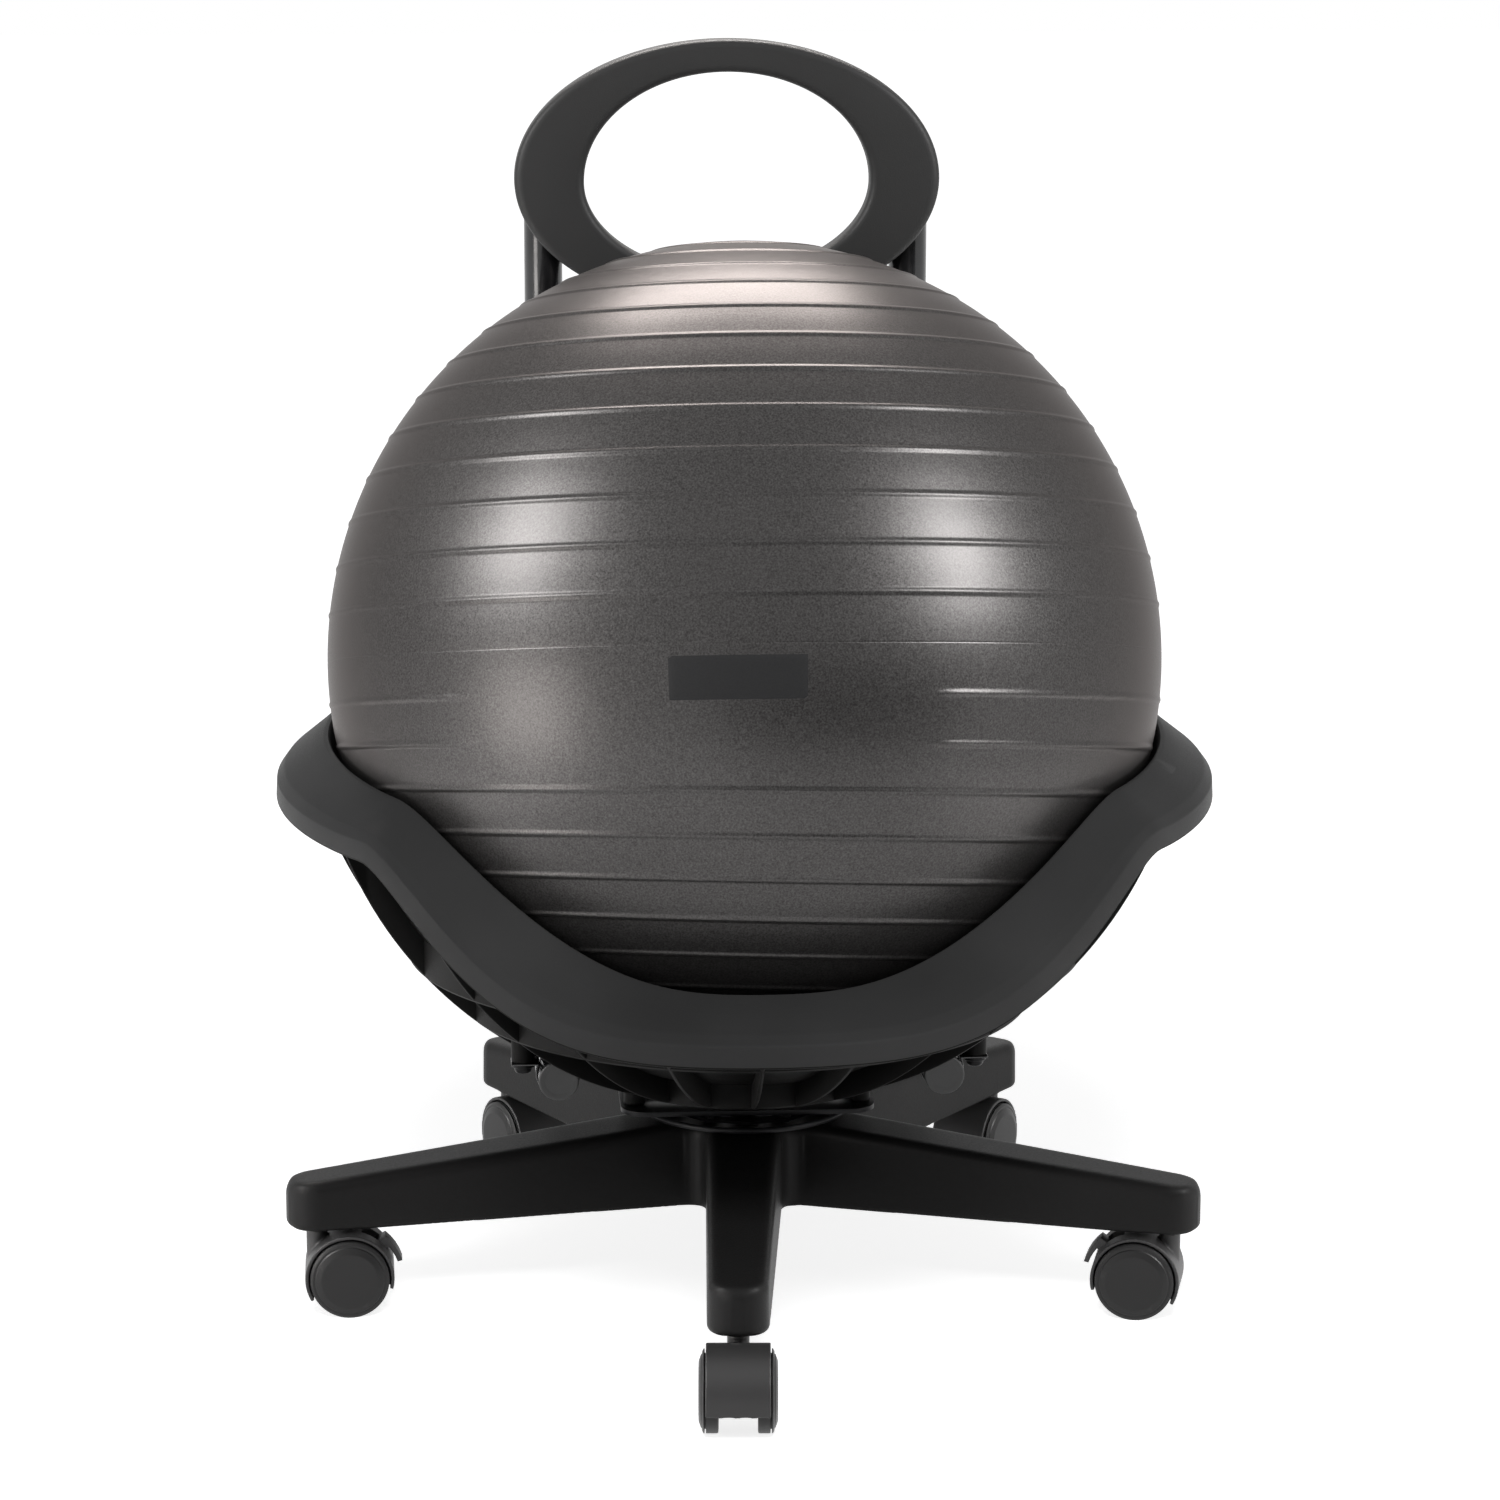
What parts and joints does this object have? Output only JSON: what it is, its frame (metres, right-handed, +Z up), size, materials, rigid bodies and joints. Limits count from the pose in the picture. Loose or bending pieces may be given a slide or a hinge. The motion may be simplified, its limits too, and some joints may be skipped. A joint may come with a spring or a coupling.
{
  "type": "balance ball chair",
  "caption": "Inflated exercise ball in a saddle-rimmed ribbed bowl that swivels on a five-arm caster base, with an oval back ring on bent tubes",
  "frame": {"origin": "on the floor under the middle of the chair's box", "axes": "+Z up, -Y the way the sitter faces, +X to the right in the picture"},
  "size_m": [0.5856, 0.6294, 0.7684],
  "materials": {
    "base_plastic": "fine grain, black",
    "bowl_plastic": "satin, black",
    "ring_plastic": "fine grain, black",
    "caster_plastic": "satin, dark grey",
    "wheel_plastic": "satin, black",
    "ball_vinyl": "satin, pearl grey",
    "plug_plastic": "satin",
    "tube_paint": "gloss powder coat, black",
    "cap_plastic": "satin, black",
    "dark_steel": "zinc plated, dark",
    "bright_steel": "zinc plated, bright"
  },
  "bodies": {
    "base": {"star_base": "base_plastic", "caster_stem_front": "bright_steel", "caster_stem_right": "bright_steel", "caster_stem_rear_right": "bright_steel", "caster_stem_rear_left": "bright_steel", "caster_stem_left": "bright_steel", "lower_swivel_plate": "bright_steel", "pivot_rivet": "bright_steel", "hub_bolt_1": "dark_steel", "hub_bolt_2": "dark_steel", "hub_bolt_3": "dark_steel", "hub_bolt_4": "dark_steel"},
    "race": {"ball_race": "bright_steel"},
    "seat": {"seat_bowl": "bowl_plastic", "upper_swivel_plate": "dark_steel", "bowl_screw_1": "dark_steel", "bowl_screw_2": "dark_steel", "bowl_screw_3": "dark_steel", "bowl_screw_4": "dark_steel", "back_tube_left": "tube_paint", "tube_end_cap_left": "cap_plastic", "clamp_strap_front_left": "tube_paint", "clamp_screw_front_left": "dark_steel", "clamp_strap_rear_left": "tube_paint", "clamp_screw_rear_left": "dark_steel", "ring_screw_lower_left": "dark_steel", "ring_screw_upper_left": "dark_steel", "back_tube_right": "tube_paint", "tube_end_cap_right": "cap_plastic", "clamp_strap_front_right": "tube_paint", "clamp_screw_front_right": "dark_steel", "clamp_strap_rear_right": "tube_paint", "clamp_screw_rear_right": "dark_steel", "ring_screw_lower_right": "dark_steel", "ring_screw_upper_right": "dark_steel", "back_ring": "ring_plastic"},
    "caster_front": {"caster_hood_front": "caster_plastic", "caster_axle_front": "bright_steel"},
    "wheel_a_front": {"wheel_a_front": "wheel_plastic"},
    "wheel_b_front": {"wheel_b_front": "wheel_plastic"},
    "caster_right": {"caster_hood_right": "caster_plastic", "caster_axle_right": "bright_steel"},
    "wheel_a_right": {"wheel_a_right": "wheel_plastic"},
    "wheel_b_right": {"wheel_b_right": "wheel_plastic"},
    "brake_lever_right": {"brake_lever_right": "caster_plastic"},
    "caster_rear_right": {"caster_hood_rear_right": "caster_plastic", "caster_axle_rear_right": "bright_steel"},
    "wheel_a_rear_right": {"wheel_a_rear_right": "wheel_plastic"},
    "wheel_b_rear_right": {"wheel_b_rear_right": "wheel_plastic"},
    "caster_rear_left": {"caster_hood_rear_left": "caster_plastic", "caster_axle_rear_left": "bright_steel"},
    "wheel_a_rear_left": {"wheel_a_rear_left": "wheel_plastic"},
    "wheel_b_rear_left": {"wheel_b_rear_left": "wheel_plastic"},
    "caster_left": {"caster_hood_left": "caster_plastic", "caster_axle_left": "bright_steel"},
    "wheel_a_left": {"wheel_a_left": "wheel_plastic"},
    "wheel_b_left": {"wheel_b_left": "wheel_plastic"},
    "brake_lever_left": {"brake_lever_left": "caster_plastic"},
    "ball": {"exercise_ball": "ball_vinyl"},
    "valve": {"valve_plug": "plug_plastic"}
  },
  "joints": [
    {"name": "seat_swivel", "type": "hinge", "parent": "base", "child": "seat", "pos_m": [0, 0.0122, 0.111], "axis": [0, 0, 1], "continuous": true},
    {"name": "race_roll", "type": "hinge", "parent": "base", "child": "race", "pos_m": [0, 0.0122, 0.111], "axis": [0, 0, 1], "continuous": true},
    {"name": "caster_swivel_front", "type": "hinge", "parent": "base", "child": "caster_front", "pos_m": [-0.02043, -0.26605, 0.05], "axis": [0, 0, 1], "continuous": true},
    {"name": "wheel_a_spin_front", "type": "hinge", "parent": "caster_front", "child": "wheel_a_front", "pos_m": [-0.02165, -0.28601, 0.02452], "axis": [0.9981, -0.061, 0], "continuous": true},
    {"name": "wheel_b_spin_front", "type": "hinge", "parent": "caster_front", "child": "wheel_b_front", "pos_m": [-0.02165, -0.28601, 0.02452], "axis": [0.9981, -0.061, 0], "continuous": true},
    {"name": "caster_swivel_right", "type": "hinge", "parent": "base", "child": "caster_right", "pos_m": [0.25832, -0.09322, 0.05], "axis": [0, 0, 1], "continuous": true},
    {"name": "wheel_a_spin_right", "type": "hinge", "parent": "caster_right", "child": "wheel_a_right", "pos_m": [0.23887, -0.08855, 0.02452], "axis": [-0.2334, -0.9724, 0], "continuous": true},
    {"name": "wheel_b_spin_right", "type": "hinge", "parent": "caster_right", "child": "wheel_b_right", "pos_m": [0.23887, -0.08855, 0.02452], "axis": [-0.2334, -0.9724, 0], "continuous": true},
    {"name": "brake_press_right", "type": "hinge", "parent": "caster_right", "child": "brake_lever_right", "pos_m": [0.22536, -0.0853, 0.03891], "axis": [-0.2334, -0.9724, 0], "range_deg": [-14, 7]},
    {"name": "caster_swivel_rear_right", "type": "hinge", "parent": "base", "child": "caster_rear_right", "pos_m": [0.18008, 0.2253, 0.05], "axis": [0, 0, 1], "continuous": true},
    {"name": "wheel_a_spin_rear_right", "type": "hinge", "parent": "caster_rear_right", "child": "wheel_a_rear_right", "pos_m": [0.16922, 0.20851, 0.02452], "axis": [0.8396, -0.5432, 0], "continuous": true},
    {"name": "wheel_b_spin_rear_right", "type": "hinge", "parent": "caster_rear_right", "child": "wheel_b_rear_right", "pos_m": [0.16922, 0.20851, 0.02452], "axis": [0.8396, -0.5432, 0], "continuous": true},
    {"name": "caster_swivel_rear_left", "type": "hinge", "parent": "base", "child": "caster_rear_left", "pos_m": [-0.14702, 0.24932, 0.05], "axis": [0, 0, 1], "continuous": true},
    {"name": "wheel_a_spin_rear_left", "type": "hinge", "parent": "caster_rear_left", "child": "wheel_a_rear_left", "pos_m": [-0.13726, 0.23186, 0.02452], "axis": [0.8729, 0.4879, 0], "continuous": true},
    {"name": "wheel_b_spin_rear_left", "type": "hinge", "parent": "caster_rear_left", "child": "wheel_b_rear_left", "pos_m": [-0.13726, 0.23186, 0.02452], "axis": [0.8729, 0.4879, 0], "continuous": true},
    {"name": "caster_swivel_left", "type": "hinge", "parent": "base", "child": "caster_left", "pos_m": [-0.27095, -0.05435, 0.05], "axis": [0, 0, 1], "continuous": true},
    {"name": "wheel_a_spin_left", "type": "hinge", "parent": "caster_left", "child": "wheel_a_left", "pos_m": [-0.25095, -0.05383, 0.02452], "axis": [-0.0262, 0.9997, 0], "continuous": true},
    {"name": "wheel_b_spin_left", "type": "hinge", "parent": "caster_left", "child": "wheel_b_left", "pos_m": [-0.25095, -0.05383, 0.02452], "axis": [-0.0262, 0.9997, 0], "continuous": true},
    {"name": "brake_press_left", "type": "hinge", "parent": "caster_left", "child": "brake_lever_left", "pos_m": [-0.23706, -0.05346, 0.03891], "axis": [-0.0262, 0.9997, 0], "range_deg": [-14, 7]},
    {"name": "ball_lift", "type": "slide", "parent": "seat", "child": "ball", "axis": [0, -0.5519, 0.8339], "range_m": [0, 0.18]},
    {"name": "valve_plug_pull", "type": "slide", "parent": "ball", "child": "valve", "axis": [0, 1, 0], "range_m": [0, 0.015]}
  ],
  "couplings": [
    {"joint": "race_roll", "follows": "seat_swivel", "ratio": 0.5}
  ]
}
